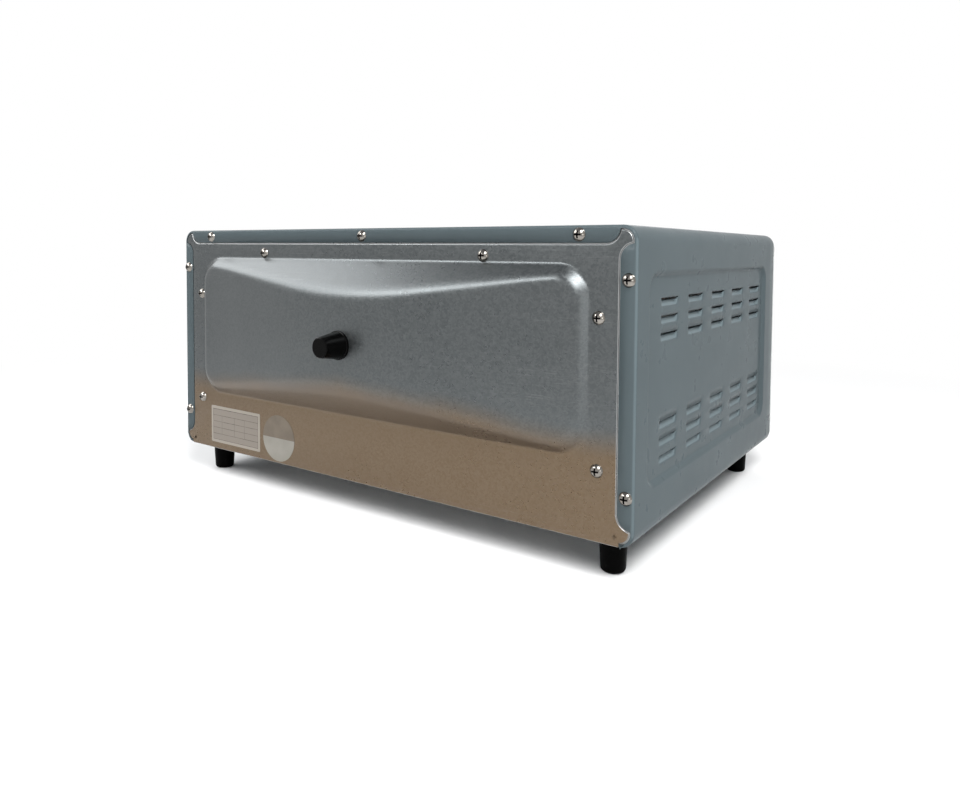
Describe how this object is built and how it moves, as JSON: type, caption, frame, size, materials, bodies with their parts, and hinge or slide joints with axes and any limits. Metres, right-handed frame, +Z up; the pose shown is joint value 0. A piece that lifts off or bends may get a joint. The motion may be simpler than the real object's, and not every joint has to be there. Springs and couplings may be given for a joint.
{
  "type": "bench-top reflow oven",
  "caption": "Bench-top oven for reflow work: wrap-round casing with louvred sides, bulged rear panel, drop-down glass door, quartz heaters, rack with tray, and rotary controls.",
  "frame": {"origin": "centre of the oven's footprint, over spacer and handle, at the level the feet stand on", "axes": "+X to the right seen from the front, +Y to the rear panel, +Z up; the door faces -Y"},
  "size_m": [0.4, 0.379, 0.199],
  "materials": {
    "casing_paint": "gloss grey-blue powder coat",
    "galvanised": "galvanised sheet with fine spangle",
    "fascia_paint": "satin light grey",
    "liner_sheet": "aluminised sheet",
    "strip": "satin dark grey",
    "door_paint": "satin black enamel",
    "glass": "tinted tempered glass",
    "quartz": "milky quartz",
    "ceramic": "white steatite",
    "brass": "plain",
    "bright_wire": "bright chromed wire",
    "enamel": "black enamel",
    "nickel": "nickel-plated",
    "black_gloss": "black moulding",
    "black_matte": "black moulding",
    "black_rubber": "black rubber",
    "lamp_red": "clear red",
    "zinc": "zinc-plated",
    "phenolic": "brown phenolic",
    "copper": "copper",
    "bakelite": "black phenolic"
  },
  "bodies": {
    "housing": {"outer_casing": "casing_paint", "rear_panel": "galvanised", "base_plate": "galvanised", "front_frame": "fascia_paint", "control_strip": "strip", "cavity_roof": "liner_sheet", "cavity_floor": "liner_sheet", "cavity_left": "liner_sheet", "cavity_right": "liner_sheet", "crumb_tray": "liner_sheet", "heater_upper_front": "quartz", "heater_upper_rear": "quartz", "heater_lower_front": "quartz", "heater_lower_rear": "quartz", "heater_caps": "ceramic", "heater_terminals": "brass", "hinge_pins": "zinc", "hinge_brackets": "zinc", "door_springs": "zinc", "thermostat": "zinc", "thermostat_bulb": "copper", "function_switch": "phenolic", "timer_housing": "zinc", "shaft_nuts": "zinc", "indicator_lamp": "lamp_red", "terminal_block": "ceramic", "thermal_cutout": "zinc", "cord_bushing": "black_rubber", "foot_front_left": "black_matte", "foot_front_right": "black_matte", "foot_rear_left": "black_matte", "foot_rear_right": "black_matte", "foot_screws": "zinc", "casing_screws": "nickel", "rear_panel_screws": "nickel", "base_screws": "zinc", "rear_spacer": "black_gloss", "spacer_screw": "zinc"},
    "door": {"door_frame": "door_paint", "door_glass": "glass", "glass_retainer": "liner_sheet", "door_handle": "black_gloss", "handle_screws": "nickel"},
    "rack": {"wire_rack": "bright_wire", "baking_tray": "enamel"},
    "temperature_control": {"temperature_knob": "bakelite", "temperature_shaft": "zinc"},
    "function_control": {"function_knob": "bakelite", "function_shaft": "zinc"},
    "timer_control": {"timer_knob": "bakelite", "timer_shaft": "zinc"}
  },
  "joints": [
    {"name": "door_hinge", "type": "hinge", "parent": "housing", "child": "door", "pos_m": [0, -0.1495, 0.0755], "axis": [1, 0, 0], "range_deg": [0, 90]},
    {"name": "rack_slide", "type": "slide", "parent": "housing", "child": "rack", "axis": [0, -1, 0], "range_m": [0, 0.063]},
    {"name": "temperature_turn", "type": "hinge", "parent": "housing", "child": "temperature_control", "pos_m": [-0.096, -0.1405, 0.045], "axis": [0, 1, 0], "range_deg": [0, 270]},
    {"name": "function_turn", "type": "hinge", "parent": "housing", "child": "function_control", "pos_m": [0, -0.1405, 0.045], "axis": [0, 1, 0], "range_deg": [0, 135]},
    {"name": "timer_turn", "type": "hinge", "parent": "housing", "child": "timer_control", "pos_m": [0.096, -0.1405, 0.045], "axis": [0, 1, 0], "range_deg": [0, 300]}
  ],
  "couplings": [
    {"joint": "rack_slide", "follows": "door_hinge", "m_per_rad": 0.04}
  ]
}
